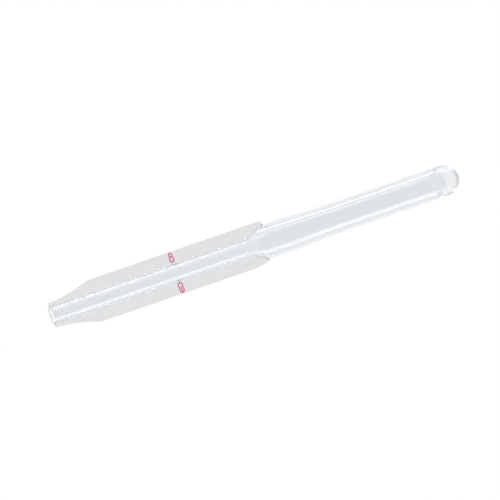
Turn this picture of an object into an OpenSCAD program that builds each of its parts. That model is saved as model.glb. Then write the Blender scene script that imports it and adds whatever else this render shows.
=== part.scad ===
// Winged transfer pipette with a squeeze bulb, formed from one thin-walled clear plastic tube.
// The bulb is the tube left round and closed at its end. The barrel is the same tube pressed flat
// over a round core, which leaves an open channel with a double-walled wing on each side.
// Millimetres. X runs from the open mouth (x = 0) to the closed end, Z is normal to the wings.

/* [Overall] */
// Overall length, from the mouth to the closed end
overall_l = 150; // [146:1:190]
// Wall thickness of the tube
wall = 0.4; // [0.3:0.05:0.5]
// Running gap between a squeeze wall and the walls beside it
wall_gap = 0.12; // [0.08:0.01:0.2]

/* [Channel] */
// Inside diameter of the channel
channel_id = 5.25; // [4.8:0.05:5.6]
// Volume held from the mouth to the fill marks, in millilitres
fill_ml = 1; // [0.5:0.1:1.1]

/* [Wings] */
// Width across both wings
wing_span = 14.6; // [13:0.1:16]
// Thickness of a wing, both walls together
wing_t = 0.7; // [0.5:0.1:1]
// Width across the wings at the mouth
mouth_span = 8.5; // [7.5:0.1:10]
// Length of the narrowing from full width to the mouth
taper_l = 15.6; // [12:0.1:20]
// How sharply the narrowing curves, 1 for a straight edge
taper_curve = 1.75; // [1:0.05:2.5]

/* [Bulb] */
// Distance from the mouth to the start of the shoulder
shoulder_x = 71.5; // [66:0.5:74]
// Length of the shoulder, from the channel to the bulb
shoulder_l = 7.5; // [6:0.5:9]
// Turn of the shoulder's curve in degrees, 180 for one that meets the bulb without a crease
shoulder_turn = 130; // [90:5:180]
// Outside diameter of the bulb beside the shoulder
bulb_neck_d = 11.7; // [11.2:0.1:12.4]
// Outside diameter of the bulb along its grip
bulb_d = 10.4; // [10:0.1:11]
// Thickness of the sealed plastic at the closed end
seal_t = 4.6; // [1:0.1:5]

/* [Squeeze walls] */
// Distance from the mouth to the squeeze walls
squeeze_x = 84; // [83:0.5:90]
// Length of the squeeze walls
squeeze_l = 56; // [40:1:56]
// Width of the squeeze walls
squeeze_w = 6.8; // [6:0.1:7]

/* [Fill marks] */
// Thickness of the printed ink
ink_t = 0.05; // [0.03:0.01:0.1]
// Width of an ink line
ink_line = 0.42; // [0.3:0.02:0.5]

/* [Hidden] */
$fn = 96;
channel_or = channel_id / 2 + wall;
fill_x = 1000 * fill_ml / (PI * pow(channel_id / 2, 2));
wing_half = wing_span / 2;
mouth_half = mouth_span / 2;
neck_r = bulb_neck_d / 2;
bulb_r = bulb_d / 2;
neck_x = shoulder_x + shoulder_l;      // the bulb is at its widest from here
slim_x0 = neck_x + 2;                  // and slims down to the grip between here
slim_x1 = neck_x + 27;                 // and here
dome_x = overall_l - bulb_r;           // centre of the round end
hollow_end_x = overall_l - seal_t;     // where the bulb's hollow stops
dome_wall_x = squeeze_x + squeeze_l;   // the end piece starts where the squeeze walls stop
// the two wings are trimmed a little differently where they run out on the bulb
left_run_out = [neck_x - 0.7, neck_x + 1.2, neck_r];
right_run_out = [shoulder_x - 0.6, neck_x - 0.6, neck_r + 0.35];
ease_n = 8;                            // straight steps in a curved stretch of wall
clear_plastic = [0.86, 0.88, 0.9, 0.45];
ink_red = [0.86, 0.16, 0.32];
side = 200;                            // larger than the pipette, for cutting blocks

// A smooth change from a to b as s goes from 0 to 1
function ease(a, b, s) = a + (b - a) * (1 - cos(180 * min(max(s, 0), 1))) / 2;

// Outside radius of the shoulder at a share s of its length
function shoulder_r(s) = channel_or
    + (neck_r - channel_or) * (1 - cos(shoulder_turn * s)) / (1 - cos(shoulder_turn));

// Outside radius of the round tube at x, shoulder and grip included
function tube_r(x) = x < slim_x0
    ? shoulder_r(min(max((x - shoulder_x) / shoulder_l, 0), 1))
    : ease(neck_r, bulb_r, (x - slim_x0) / (slim_x1 - slim_x0));

// Stations along a stretch of tube, closer together where its radius changes
function stations(x0, x1) = concat(
    [x0],
    [for (i = [0:ease_n]) let (x = shoulder_x + shoulder_l * i / ease_n) if (x > x0 && x < x1) x],
    [for (i = [0:ease_n]) let (x = slim_x0 + (slim_x1 - slim_x0) * i / ease_n) if (x > x0 && x < x1) x],
    [x1]
);

// Outline of the tube's wall between two stations, as [radius, x]
function wall_outline(x0, x1) = let (xs = stations(x0, x1), n = len(xs)) concat(
    [for (x = xs) [tube_r(x), x]],
    [for (i = [1:n]) [tube_r(xs[n - i]) - wall, xs[n - i]]]
);

// Turn a body made around Z so that its axis lies along X
module along_x() rotate([0, 90, 0]) children();

module tube_wall(x0, x1) {
    along_x() rotate_extrude() polygon(wall_outline(x0, x1));
}

// Everything inside the tube's outer surface between two stations
module tube_core(x0, x1) {
    along_x() rotate_extrude() polygon(concat(
        [[0, x0]], [for (x = stations(x0, x1)) [tube_r(x), x]], [[0, x1]]
    ));
}

// Edge of a wing, from the mouth to where it runs out on the bulb: [start, end, half width there]
function wing_edge(run_out) = concat(
    [for (i = [0:ease_n]) let (s = i / ease_n)
        [taper_l * s, mouth_half + (wing_half - mouth_half) * pow(s, taper_curve)]],
    [for (i = [0:ease_n / 2]) let (s = i / (ease_n / 2))
        [run_out[0] + (run_out[1] - run_out[0]) * s, wing_half + (run_out[2] - wing_half) * s * s]]
);

// Plan of one wing, on +Y
module wing_plan(run_out) {
    polygon(concat([[0, 0]], wing_edge(run_out), [[run_out[1], 0]]));
}

// One wall of the barrel, on +Z: half of the channel and one wall of each wing
module barrel_wall() {
    difference() {
        union() {
            difference() {
                linear_extrude(wing_t / 2) union() {
                    wing_plan(left_run_out);
                    mirror([0, 1]) wing_plan(right_run_out);
                }
                tube_core(shoulder_x, squeeze_x);
            }
            intersection() {
                along_x() cylinder(h = shoulder_x, r = channel_or);
                translate([0, -side / 2, 0]) cube(side);
            }
        }
        translate([-1, 0, 0]) along_x() cylinder(h = shoulder_x + 1, d = channel_id);
    }
}

module barrel_upper_wall() color(clear_plastic) barrel_wall();

module barrel_lower_wall() color(clear_plastic) mirror([0, 0, 1]) barrel_wall();

module bulb_shoulder() color(clear_plastic) tube_wall(shoulder_x, squeeze_x);

// The tube's wall on +Y, beyond the squeeze walls
module bulb_side_wall() {
    intersection() {
        tube_wall(squeeze_x, dome_wall_x);
        translate([0, squeeze_w / 2 + wall_gap, -side / 2]) cube(side);
    }
}

module bulb_left_wall() color(clear_plastic) bulb_side_wall();

module bulb_right_wall() color(clear_plastic) mirror([0, 1, 0]) bulb_side_wall();

// The tube's wall on +Z that a finger presses in
module squeeze_wall() {
    intersection() {
        tube_wall(squeeze_x + wall_gap, dome_wall_x - wall_gap);
        translate([0, -squeeze_w / 2, 0]) cube([side, squeeze_w, side]);
    }
}

module bulb_thumb_wall() color(clear_plastic) squeeze_wall();

module bulb_finger_wall() color(clear_plastic) mirror([0, 0, 1]) squeeze_wall();

// Round closed end: the hollow stops short of it in a shallow dome, and the rest is sealed solid
module bulb_closed_end() {
    hollow_r = bulb_r - wall;
    color(clear_plastic) along_x() rotate_extrude() difference() {
        union() {
            translate([0, dome_wall_x]) square([bulb_r, dome_x - dome_wall_x]);
            intersection() {
                translate([0, dome_x]) circle(bulb_r);
                translate([0, dome_x]) square(bulb_r);
            }
        }
        polygon(concat(
            [[0, dome_wall_x - 1], [hollow_r, dome_wall_x - 1]],
            [for (i = [0:ease_n]) let (a = 90 * i / ease_n, top = hollow_end_x - dome_wall_x)
                [hollow_r * cos(a), dome_wall_x + top * sin(a)]]
        ));
    }
}

// Flat ring with round ends, its length along Y, from y0 to y1
module ink_ring(y0, y1, width) {
    module slot(w) {
        translate([-w / 2, y0 + width / 2]) square([w, y1 - y0 - width]);
        translate([0, y0 + width / 2]) circle(d = w);
        translate([0, y1 - width / 2]) circle(d = w);
    }
    difference() {
        slot(width);
        slot(width - 2 * ink_line);
    }
}

// Ink lies on the upper face of a wing
module ink() {
    color(ink_red) translate([fill_x, 0, wing_t / 2]) linear_extrude(ink_t) children();
}

// A double loop, the smaller one at the wing's edge
module fill_mark_left() {
    ink() {
        ink_ring(3.55, 5.75, 1.7);
        ink_ring(5.75 - ink_line, 7.1, 1.4);
    }
}

// A narrow loop closed towards the channel, with a short bar inside it
module fill_mark_right() {
    ink() mirror([0, 1]) {
        ink_ring(3.3, 7.1, 1.8);
        translate([-ink_line / 2, 4.9]) square([ink_line, 2]);
    }
}

barrel_upper_wall();
barrel_lower_wall();
bulb_shoulder();
bulb_left_wall();
bulb_right_wall();
bulb_thumb_wall();
bulb_finger_wall();
bulb_closed_end();
fill_mark_left();
fill_mark_right();
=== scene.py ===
import math

import bmesh
import bpy
from mathutils import Matrix, Vector
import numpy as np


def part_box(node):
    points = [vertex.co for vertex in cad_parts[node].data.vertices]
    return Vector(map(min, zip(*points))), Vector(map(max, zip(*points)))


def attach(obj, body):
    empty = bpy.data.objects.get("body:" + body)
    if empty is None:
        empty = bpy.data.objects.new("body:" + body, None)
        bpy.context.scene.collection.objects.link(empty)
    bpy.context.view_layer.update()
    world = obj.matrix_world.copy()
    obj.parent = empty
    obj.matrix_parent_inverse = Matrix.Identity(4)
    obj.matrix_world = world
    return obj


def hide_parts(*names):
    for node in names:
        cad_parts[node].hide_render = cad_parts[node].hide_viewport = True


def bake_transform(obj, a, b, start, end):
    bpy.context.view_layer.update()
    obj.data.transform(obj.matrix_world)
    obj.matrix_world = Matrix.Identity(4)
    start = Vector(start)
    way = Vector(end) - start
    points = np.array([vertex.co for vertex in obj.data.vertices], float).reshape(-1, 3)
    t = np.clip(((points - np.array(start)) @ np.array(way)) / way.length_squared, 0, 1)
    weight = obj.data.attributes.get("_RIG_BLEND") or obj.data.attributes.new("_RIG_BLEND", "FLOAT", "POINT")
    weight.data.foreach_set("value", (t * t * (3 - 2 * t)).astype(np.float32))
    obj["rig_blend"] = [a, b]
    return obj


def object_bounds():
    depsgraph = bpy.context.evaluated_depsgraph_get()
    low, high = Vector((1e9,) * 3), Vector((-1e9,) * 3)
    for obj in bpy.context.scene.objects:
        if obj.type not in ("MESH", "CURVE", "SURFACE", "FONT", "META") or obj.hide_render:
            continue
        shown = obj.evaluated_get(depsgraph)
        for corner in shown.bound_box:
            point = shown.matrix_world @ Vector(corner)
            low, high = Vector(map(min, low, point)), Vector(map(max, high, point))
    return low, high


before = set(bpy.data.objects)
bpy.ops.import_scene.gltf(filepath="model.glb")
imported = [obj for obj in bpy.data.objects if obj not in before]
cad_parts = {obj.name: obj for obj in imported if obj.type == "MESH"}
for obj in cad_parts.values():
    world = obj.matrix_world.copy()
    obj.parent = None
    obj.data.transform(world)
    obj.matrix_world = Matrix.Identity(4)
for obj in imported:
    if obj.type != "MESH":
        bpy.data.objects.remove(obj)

mm = 0.001
cadBox = [list(corner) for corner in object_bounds()]
print("pipette: frame loaded")

# the frame says where the barrel, the shoulder, the bulb and the tip are
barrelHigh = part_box("barrel_upper_wall")[1]
shoulderLow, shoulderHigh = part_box("bulb_shoulder")
endLow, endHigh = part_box("bulb_closed_end")
tube = {
    "wall": 0.4 * mm,
    "channelRadius": barrelHigh.z,     # the radii are of the outside
    "neckRadius": shoulderHigh.z,
    "gripRadius": endHigh.z,
    "shoulderStart": shoulderLow.x,
    "shoulderLength": 7.5 * mm,
    "shoulderTurn": math.radians(130),
    "slimStart": 9.5 * mm,         # from the shoulder's start
    "slimEnd": 34.5 * mm,
    "bulbStart": shoulderHigh.x,
    "bulbEnd": endLow.x,
    "tip": endHigh.x,
    "seam": 0.01 * mm,             # half of the hairline between two pieces of one wall
    "squareOn": 0.999,             # a face turned this far to an axis counts as square to it
    "sharpAngle": math.radians(32),
    "weldDistance": 0.001 * mm,
}


def ease(a, b, share):
    return a + (b - a) * (1 - math.cos(math.pi * min(max(share, 0), 1))) / 2


def tubeRadius(x):
    past = x - tube["shoulderStart"]
    if past < tube["slimStart"]:
        turned = tube["shoulderTurn"] * min(max(past / tube["shoulderLength"], 0), 1)
        grown = (1 - math.cos(turned)) / (1 - math.cos(tube["shoulderTurn"]))
        return tube["channelRadius"] + (tube["neckRadius"] - tube["channelRadius"]) * grown
    slimmed = (past - tube["slimStart"]) / (tube["slimEnd"] - tube["slimStart"])
    return ease(tube["neckRadius"], tube["gripRadius"], slimmed)


def steps(start, stop, count):
    return [start + (stop - start) * i / count for i in range(count + 1)]


def arc(centre, radius, start, stop, count):
    turns = steps(math.radians(start), math.radians(stop), count)
    return [(centre[0] + radius * math.cos(a), centre[1] + radius * math.sin(a)) for a in turns]


def loft(bm, rings):
    # one ring is extruded from place to place, and takes the outline that is given there
    order = bm.verts.layers.int.new("order")
    count = len(rings[0][1])
    ring = bmesh.ops.create_circle(bm, cap_ends=False, segments=count, radius=1)["verts"]
    edges = bm.edges[:]
    v, last = ring[0], None
    for i in range(count):
        v[order] = i
        v, last = next(e.other_vert(v) for e in v.link_edges if e.other_vert(v) is not last), v
    for n, (x, points) in enumerate(rings):
        if n:
            made = bmesh.ops.extrude_edge_only(bm, edges=edges)["geom"]
            ring = [g for g in made if isinstance(g, bmesh.types.BMVert)]
            edges = [g for g in made if isinstance(g, bmesh.types.BMEdge) and set(g.verts) <= set(ring)]
        for v in ring:
            v.co = (x, *points[v[order]])


def isWelded(face):
    # true for the faces where two pieces of one wall meet
    middle, hair = face.calc_center_median(), 2 * tube["seam"]
    if abs(face.normal.x) > tube["squareOn"]:
        return min(abs(middle.x - tube["bulbStart"]), abs(middle.x - tube["bulbEnd"])) < hair
    return abs(face.normal.z) > tube["squareOn"] and abs(middle.z) < hair


def finishMesh(bm, name, materials):
    bmesh.ops.remove_doubles(bm, verts=bm.verts, dist=tube["weldDistance"])
    bmesh.ops.recalc_face_normals(bm, faces=bm.faces)
    for f in bm.faces:
        f.smooth = True
        if isWelded(f):
            f.material_index = materials.index(weldedJoint)
    for e in bm.edges:
        e.smooth = e.is_manifold and e.calc_face_angle(0) < tube["sharpAngle"]
    mesh = bpy.data.meshes.new(name)
    bm.to_mesh(mesh)
    bm.free()
    for material in materials:
        mesh.materials.append(material)
    piece = bpy.data.objects.new(name, mesh)
    bpy.context.scene.collection.objects.link(piece)
    return piece


def linear(hexColour):
    parts = [int(hexColour[i:i + 2], 16) / 255 for i in (1, 3, 5)]
    return [c / 12.92 if c <= 0.04045 else ((c + 0.055) / 1.055) ** 2.4 for c in parts] + [1]


def addNode(tree, kind, settings=None, **links):
    # a capital starts a socket's name, a small letter starts a property's
    node = tree.nodes.new(kind)
    for key, value in (settings or {}).items():
        if key[0].isupper():
            node.inputs[key].default_value = value
        else:
            setattr(node, key, value)
    for key, source in links.items():
        tree.links.new(source, node.inputs[key.replace("_", " ")])
    return node


def startTree(owner):
    # owner is a new material or world
    owner.use_nodes = True
    owner.node_tree.nodes.clear()
    return owner.node_tree


def coordinates(tree, kind):
    return addNode(tree, "ShaderNodeTexCoord").outputs[kind]


def pattern(tree, spacing, detail=2.0):
    # spacing is the size of one patch along X, Y and Z, in metres
    scaled = addNode(tree, "ShaderNodeMapping", {"Scale": [1 / s for s in spacing]},
                     Vector=coordinates(tree, "Object"))
    return addNode(tree, "ShaderNodeTexNoise", {"Scale": 1.0, "Detail": detail},
                   Vector=scaled.outputs["Vector"]).outputs["Fac"]


def between(tree, span, share):
    return addNode(tree, "ShaderNodeMapRange", {"To Min": span[0], "To Max": span[1]},
                   Value=share).outputs["Result"]


def twoTone(tree, tones, share):
    tone = addNode(tree, "ShaderNodeMix", {"data_type": "RGBA"}, Factor=share)
    # a mix node's two colours are its sockets 6 and 7, and the mixed one is its output 2
    for socket, colour in zip((6, 7), tones):
        tone.inputs[socket].default_value = linear(colour)
    return tone.outputs[2]


def bumps(tree, height, depth, **links):
    return addNode(tree, "ShaderNodeBump", {"Strength": 1.0, "Distance": depth},
                   Height=height, **links).outputs["Normal"]


def finishMaterial(name, makeShader):
    material = bpy.data.materials.new(name)
    tree = startTree(material)
    addNode(tree, "ShaderNodeOutputMaterial", Surface=makeShader(tree))
    return material


def clearPlastic(tree, settings, **links):
    return addNode(tree, "ShaderNodeBsdfPrincipled", {"Transmission Weight": 1.0, **settings},
                   **links).outputs["BSDF"]


# Drawn PVC tube: glass clear, with faint lines and slow waves along the way it was drawn,
# which break a highlight into streaks
drawnTube = {
    "tint": "#F2F4F6",
    "ior": 1.5,
    "roughness": (0.02, 0.06),
    "lineSpacing": (60 * mm, 0.7 * mm, 0.7 * mm),
    "lineDepth": 0.002 * mm,
    "waveSpacing": (14 * mm, 5 * mm, 5 * mm),
    "waveDepth": 0.02 * mm,
    "meltLength": 4.5 * mm,        # the tip was melted shut, and is duller and lumpier there
    "meltFade": 2 * mm,
    "meltRoughness": 0.3,
    "lumpSpacing": (2.2 * mm, 2.2 * mm, 2.2 * mm),
    "lumpDepth": 0.08 * mm,
}


def makeDrawnTube(tree):
    s = drawnTube
    lines = pattern(tree, s["lineSpacing"], 3.0)
    waves = bumps(tree, pattern(tree, s["waveSpacing"]), s["waveDepth"])
    streaks = bumps(tree, lines, s["lineDepth"], Normal=waves)
    x = addNode(tree, "ShaderNodeSeparateXYZ", None, Vector=coordinates(tree, "Object")).outputs["X"]
    meltStart = tube["tip"] - s["meltLength"]
    melted = addNode(tree, "ShaderNodeMapRange", {
        "From Min": meltStart - s["meltFade"], "From Max": meltStart,
    }, Value=x).outputs["Result"]
    dull = addNode(tree, "ShaderNodeMix", {"B": s["meltRoughness"]}, Factor=melted,
                   A=between(tree, s["roughness"], lines)).outputs["Result"]
    lumps = addNode(tree, "ShaderNodeBump", {"Distance": s["lumpDepth"]}, Strength=melted,
                    Height=pattern(tree, s["lumpSpacing"]), Normal=streaks).outputs["Normal"]
    return clearPlastic(tree, {"IOR": s["ior"], "Base Color": linear(s["tint"])},
                        Roughness=dull, Normal=lumps)


# The same tube pressed flat between warm plates: a satin grey film, a little uneven in tone,
# with shallow ripples that the press left
pressedTube = {
    "tints": ("#E1E2E3", "#E9EAEB"),
    "ior": 1.5,
    "roughness": (0.05, 0.1),
    "patchSpacing": (9 * mm, 3 * mm, 3 * mm),
    "grainSpacing": (0.5 * mm, 0.5 * mm, 0.5 * mm),
    "grainDepth": 0.003 * mm,
    "rippleSpacing": (6 * mm, 4 * mm, 4 * mm),
    "rippleDepth": 0.02 * mm,
}


def makePressedTube(tree):
    s = pressedTube
    tone = twoTone(tree, s["tints"], pattern(tree, s["patchSpacing"], 4.0))
    grain = pattern(tree, s["grainSpacing"])
    ripples = bumps(tree, pattern(tree, s["rippleSpacing"]), s["rippleDepth"])
    fine = bumps(tree, grain, s["grainDepth"], Normal=ripples)
    return clearPlastic(tree, {"IOR": s["ior"]}, Base_Color=tone,
                        Roughness=between(tree, s["roughness"], grain), Normal=fine)


# Screen printed ink: a thin crimson film, paler where it went on thin, with a soft gloss
printedInk = {
    "tints": ("#FF9CBE", "#FF3A7C"),
    "roughness": (0.3, 0.5),
    "blotchSpacing": (0.45 * mm, 0.45 * mm, 0.45 * mm),
    "filmDepth": 0.01 * mm,
}


def makePrintedInk(tree):
    s = printedInk
    blotches = pattern(tree, s["blotchSpacing"], 3.0)
    return addNode(tree, "ShaderNodeBsdfPrincipled", None,
                   Base_Color=twoTone(tree, s["tints"], blotches),
                   Roughness=between(tree, s["roughness"], blotches),
                   Normal=bumps(tree, blotches, s["filmDepth"])).outputs["BSDF"]


# The square end that a knife left: frosted, so it scatters light and reads as a thin dull rim
cutEdge = {
    "tint": "#EEF0F1",
    "ior": 1.5,
    "roughness": (0.4, 0.6),
    "scratchSpacing": (0.3 * mm, 0.15 * mm, 0.6 * mm),
    "scratchDepth": 0.004 * mm,
}


def makeCutEdge(tree):
    s = cutEdge
    scratches = pattern(tree, s["scratchSpacing"])
    return clearPlastic(tree, {"IOR": s["ior"], "Base Color": linear(s["tint"])},
                        Roughness=between(tree, s["roughness"], scratches),
                        Normal=bumps(tree, scratches, s["scratchDepth"]))


# The wall is unbroken here on the real tube, so light crosses the joint and leaves no sign of it
weldedTube = {"tint": "#FFFFFF", "ior": 1.0, "roughness": 0.0}


def makeWeldedJoint(tree):
    s = weldedTube
    return clearPlastic(tree, {
        "IOR": s["ior"], "Base Color": linear(s["tint"]), "Roughness": s["roughness"],
    })


drawnPvc = finishMaterial("drawnClearPvc", makeDrawnTube)
pressedPvc = finishMaterial("pressedClearPvc", makePressedTube)
redInk = finishMaterial("screenPrintedRedInk", makePrintedInk)
frostedEdge = finishMaterial("knifeCutPvc", makeCutEdge)
weldedJoint = finishMaterial("weldedClearPvc", makeWeldedJoint)
print("pipette: materials done")

barrel = {
    "wingHalf": barrelHigh.y,
    "halfThick": 0.35 * mm,
    "mouthHalf": 4.25 * mm,
    "taperLength": 15.6 * mm,
    "taperCurve": 1.75,
    "fillet": 0.14 * mm,                   # where a wing leaves the channel
    "filletShare": 0.6,                    # at most this share of a wing's width
    "edgeRound": 0.06 * mm,                # a wing's cut edge is nearly square
    "edgeShare": 0.3,                      # at most this share of a wing's flat
    "arcSteps": 16,
    "filletSteps": 5,
    "flatSteps": 5,
    "edgeSteps": 2,
    "stationCounts": (20, 24, 30, 20),     # along the taper, the wings, their run-outs and the neck
    # on +Y and on -Y: where the wing's run-out starts and stops, and how far past the neck it ends
    "runOuts": {1: (78.3 * mm, 80.2 * mm, 0), -1: (70.9 * mm, 78.4 * mm, 0.35 * mm)},
    "cutStep": 0.1 * mm,                   # length of the step where a wing stops short
    "leastWing": 0.05 * mm,                # a narrower wing is left out
    "faceSlack": 1.01,                     # a wing's faces lie within this much of half its thickness
    "cutLength": 0.4 * mm,                 # the mouth's rim is dull this far in
}


def wingReach(x, side):
    s = barrel
    start, stop, spare = s["runOuts"][side]
    if x > stop:
        return 0
    if x < s["taperLength"]:
        return s["mouthHalf"] + (s["wingHalf"] - s["mouthHalf"]) * (x / s["taperLength"]) ** s["taperCurve"]
    along = max(0, (x - start) / (stop - start))
    return s["wingHalf"] + (tube["neckRadius"] + spare - s["wingHalf"]) * along ** 2


def quarterOutline(x, side):
    # from the top of the round tube to the edge of the wing, or to the tube's own side
    s = barrel
    radius, reach = tubeRadius(x), wingReach(x, side)
    past = reach - radius
    if past < s["leastWing"]:
        count = s["arcSteps"] + s["filletSteps"] + s["flatSteps"] + s["edgeSteps"] + 1
        return arc((0, 0), radius, 90, 0, count)
    fillet = min(s["fillet"], past * s["filletShare"])
    lift = s["halfThick"] + fillet
    root = math.sqrt((radius + fillet) ** 2 - lift ** 2)
    low = math.degrees(math.asin(lift / (radius + fillet)))
    edge = min(s["edgeRound"], (reach - root) * s["edgeShare"])
    points = arc((0, 0), radius, 90, low, s["arcSteps"])
    points += arc((root, lift), fillet, 180 + low, 270, s["filletSteps"])[1:]
    points += [(y, s["halfThick"]) for y in steps(root, reach - edge, s["flatSteps"])[1:]]
    points += arc((reach - edge, s["halfThick"] - edge), edge, 90, 0, s["edgeSteps"])[1:]
    return points + [(reach, 0)]


def outerOutline(x):
    left, right = quarterOutline(x, 1), quarterOutline(x, -1)
    halves = left + [(y, -z) for y, z in left[-2::-1]]
    return halves + [(-y, -z) for y, z in right[1:]] + [(-y, z) for y, z in right[-2:0:-1]]


def boreOutline(x):
    radius = tubeRadius(x) - tube["wall"]
    return arc((0, 0), radius, 90, -270, len(outerOutline(0)))[:-1]


def makeBarrel():
    s, materials = barrel, [drawnPvc, pressedPvc, frostedEdge, weldedJoint]
    runOutStart, runOutStop = s["runOuts"][-1][:2]
    taper, wings, runOut, neck = s["stationCounts"]
    stations = [0, s["cutLength"]] + steps(0, s["taperLength"], taper)[1:]
    stations += steps(s["taperLength"], runOutStart, wings)[1:]
    stations += steps(runOutStart, runOutStop, runOut)[1:]
    stations += steps(runOutStop + s["cutStep"], tube["bulbStart"] - tube["seam"], neck)
    rings = [(x, outerOutline(x)) for x in stations]
    rings += [(x, boreOutline(x)) for x in reversed(stations)]
    bm = bmesh.new()
    loft(bm, rings + rings[:1])
    for f in bm.faces:
        middle = f.calc_center_median()
        past = math.hypot(middle.y, middle.z) - tubeRadius(middle.x)
        onWing = past > s["fillet"] and abs(middle.z) <= s["halfThick"] * s["faceSlack"]
        surface = frostedEdge if middle.x < s["cutLength"] else pressedPvc if onWing else drawnPvc
        f.material_index = materials.index(surface)
    piece = finishMesh(bm, "barrel", materials)
    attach(piece, "pipette")
    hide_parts("barrel_upper_wall", "barrel_lower_wall", "bulb_shoulder")


makeBarrel()
print("pipette: barrel done")

bulb = {
    "around": 56,
    "along": 64,
    "walls": {
        "bulbUpper": (1, "thumb_wall", "bulb_thumb_wall"),
        "bulbLower": (-1, "finger_wall", "bulb_finger_wall"),
    },
}


def spinProfile(bm, profile, start, turn, count, layer=None, marked=0):
    # a part turn closes the profile on itself, and a full turn takes one that ends on the axis twice;
    # the first marked points carry a 1 in the layer all the way round
    verts = [bm.verts.new((x, r * math.cos(start), r * math.sin(start))) for x, r in profile]
    for v in verts[:marked]:
        v[layer] = 1
    edges = [bm.edges.new(pair) for pair in zip(verts, verts[1:])]
    isFullTurn = turn >= 2 * math.pi
    if not isFullTurn:
        edges.append(bm.edges.new((verts[-1], verts[0])))
    bmesh.ops.spin(bm, geom=verts + edges, cent=(0, 0, 0), axis=(1, 0, 0), angle=turn,
                   steps=count, use_merge=isFullTurn)


def makeBulbHalf(name, up, body, node):
    s = bulb
    stations = steps(tube["bulbStart"] + tube["seam"], tube["bulbEnd"] - tube["seam"], s["along"])
    profile = [(x, tubeRadius(x)) for x in stations]
    profile += [(x, tubeRadius(x) - tube["wall"]) for x in reversed(stations)]
    gap = tube["seam"] / tube["gripRadius"]
    bm = bmesh.new()
    spinProfile(bm, profile, gap * up, up * (math.pi - 2 * gap), s["around"])
    bmesh.ops.holes_fill(bm, edges=bm.edges, sides=0)
    piece = finishMesh(bm, name, [drawnPvc, weldedJoint])
    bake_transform(piece, "pipette", body, start=(0, 0, 0), end=(0, 0, up * tube["gripRadius"]))
    keepEndsRound(piece)
    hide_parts(node, "bulb_left_wall", "bulb_right_wall")


def keepEndsRound(piece):
    # the squeeze fades out towards the shoulder and the closed end, where the tube stays round
    weights = piece.data.attributes["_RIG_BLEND"].data
    for v in piece.data.vertices:
        along = (v.co.x - tube["bulbStart"]) / (tube["bulbEnd"] - tube["bulbStart"])
        weights[v.index].value *= math.sin(math.pi * along) ** 2


for name, (up, body, node) in bulb["walls"].items():
    makeBulbHalf(name, up, body, node)
print("pipette: bulb done")

closedEnd = {
    "sealThick": 4.6 * mm,
    "around": 72,
    "arcSteps": 22,
    "wallSteps": 6,
    "pinch": 0.7,                  # how far the hollow's end is pressed flat
}


def makeClosedEnd():
    s = closedEnd
    radius, hollow = tube["gripRadius"], tube["gripRadius"] - tube["wall"]
    start, centre = tube["bulbEnd"], tube["tip"] - tube["gripRadius"]
    deep = tube["tip"] - s["sealThick"] - start
    # from the deepest point of the hollow out to the joint, and over the outside to the tip
    inside = [(start + deep * h, hollow * r) for r, h in arc((0, 0), 1, 90, 0, s["arcSteps"])]
    outside = [(x, radius) for x in steps(start, centre, s["wallSteps"])]
    outside += [(centre + radius * h, radius * r) for r, h in arc((0, 0), 1, 0, 90, s["arcSteps"])[1:]]
    bm = bmesh.new()
    isInside = bm.verts.layers.int.new("inside")
    spinProfile(bm, inside + outside, 0, 2 * math.pi, s["around"], isInside, len(inside))
    for v in bm.verts:
        if v[isInside]:
            v.co.z *= 1 - s["pinch"] * ((v.co.x - start) / deep) ** 2
    piece = finishMesh(bm, "closedEnd", [drawnPvc, weldedJoint])
    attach(piece, "pipette")
    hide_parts("bulb_closed_end")


makeClosedEnd()
for name in ("fill_mark_left", "fill_mark_right"):
    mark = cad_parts[name].data
    mark.materials.clear()
    mark.materials.append(redInk)
print("pipette: closed end and fill marks done")

studio = {
    "floorSize": 3.0,
    "bounces": 64,                 # light runs a long way along inside a thin clear wall
    "sky": ("#FFFFFF", "#ACAEB0"),  # at the horizon and overhead
    # two soft boxes beside the tube, each with its place, its size in metres and its power in watts
    "strips": {
        "leftStrip": ((0.075, 0.50, 0.014), (0.9, 0.036), 1.15),
        "rightStrip": ((0.075, -0.50, 0.22), (0.9, 0.20), 1.05),
    },
}


def makeLightTable(tree):
    # a white light table under the tube: an even glow with no shadow, which shows through clear plastic
    return addNode(tree, "ShaderNodeEmission", {"Color": (1, 1, 1, 1), "Strength": 1.0}).outputs["Emission"]


def makeFloor():
    bm = bmesh.new()
    bmesh.ops.create_grid(bm, x_segments=1, y_segments=1, size=studio["floorSize"])
    bmesh.ops.translate(bm, verts=bm.verts, vec=(tube["tip"] / 2, 0, cadBox[0][2]))
    mesh = bpy.data.meshes.new("floor")
    bm.to_mesh(mesh)
    bm.free()
    floor = bpy.data.objects.new("floor", mesh)
    bpy.context.scene.collection.objects.link(floor)
    mesh.materials.append(finishMaterial("whiteLightTable", makeLightTable))


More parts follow.
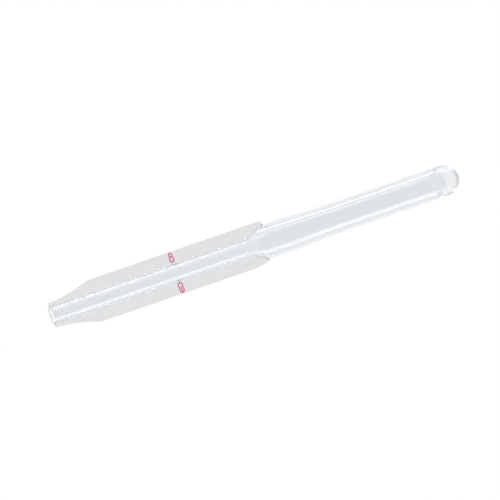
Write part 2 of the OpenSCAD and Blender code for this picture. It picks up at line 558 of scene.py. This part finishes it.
def makeWorld():
    world = bpy.data.worlds.new("studio")
    tree = startTree(world)
    height = addNode(tree, "ShaderNodeSeparateXYZ", None,
                     Vector=coordinates(tree, "Generated")).outputs["Z"]
    back = addNode(tree, "ShaderNodeBackground", {"Strength": 1.0},
                   Color=twoTone(tree, studio["sky"], height))
    addNode(tree, "ShaderNodeOutputWorld", Surface=back.outputs["Background"])
    bpy.context.scene.world = world


def addStrip(name, place, size, power):
    light = bpy.data.lights.new(name, "AREA")
    light.shape = "RECTANGLE"
    light.size, light.size_y = size
    light.energy = power
    lamp = bpy.data.objects.new(name, light)
    lamp.location = place
    ahead = Vector((tube["tip"] / 2, 0, 0)) - lamp.location
    lamp.rotation_euler = ahead.to_track_quat("-Z", "Y").to_euler()
    lamp.visible_camera = False
    bpy.context.scene.collection.objects.link(lamp)


view = {
    "lens": 1200,                  # a long lens from far off, so both ends keep one scale
    "sensor": 36,
    "clip": (0.01, 20),
    "tilt": math.radians(18),      # the camera leans towards the closed end
    "turn": math.radians(19),      # the pipette rises to the right in the frame
    "width": 166.4 * mm,           # what the frame takes in
    "aim": (74.9 * mm, 0, 0),
    "offset": (-1.33 * mm, -1.33 * mm),
}


def makeCamera():
    along = Vector((math.cos(view["tilt"]), 0, -math.sin(view["tilt"])))
    across = Vector((0, 1, 0))
    back = along.cross(across)
    right = math.cos(view["turn"]) * along - math.sin(view["turn"]) * across
    up = math.sin(view["turn"]) * along + math.cos(view["turn"]) * across
    lens = bpy.data.cameras.new("camera")
    lens.lens, lens.sensor_width = view["lens"], view["sensor"]
    lens.clip_start, lens.clip_end = view["clip"]
    camera = bpy.data.objects.new("camera", lens)
    offset = right * view["offset"][0] + up * view["offset"][1]
    place = Vector(view["aim"]) + offset + back * view["width"] * view["lens"] / view["sensor"]
    camera.matrix_world = Matrix.Translation(place) @ Matrix((right, up, back)).transposed().to_4x4()
    bpy.context.scene.collection.objects.link(camera)
    bpy.context.scene.camera = camera


makeFloor()
makeWorld()
for name, strip in studio["strips"].items():
    addStrip(name, *strip)
makeCamera()
bpy.context.scene.view_settings.view_transform = "Standard"
for kind in ("max_bounces", "glossy_bounces", "transmission_bounces"):
    setattr(bpy.context.scene.cycles, kind, studio["bounces"])
print("pipette: stage, light and camera done")
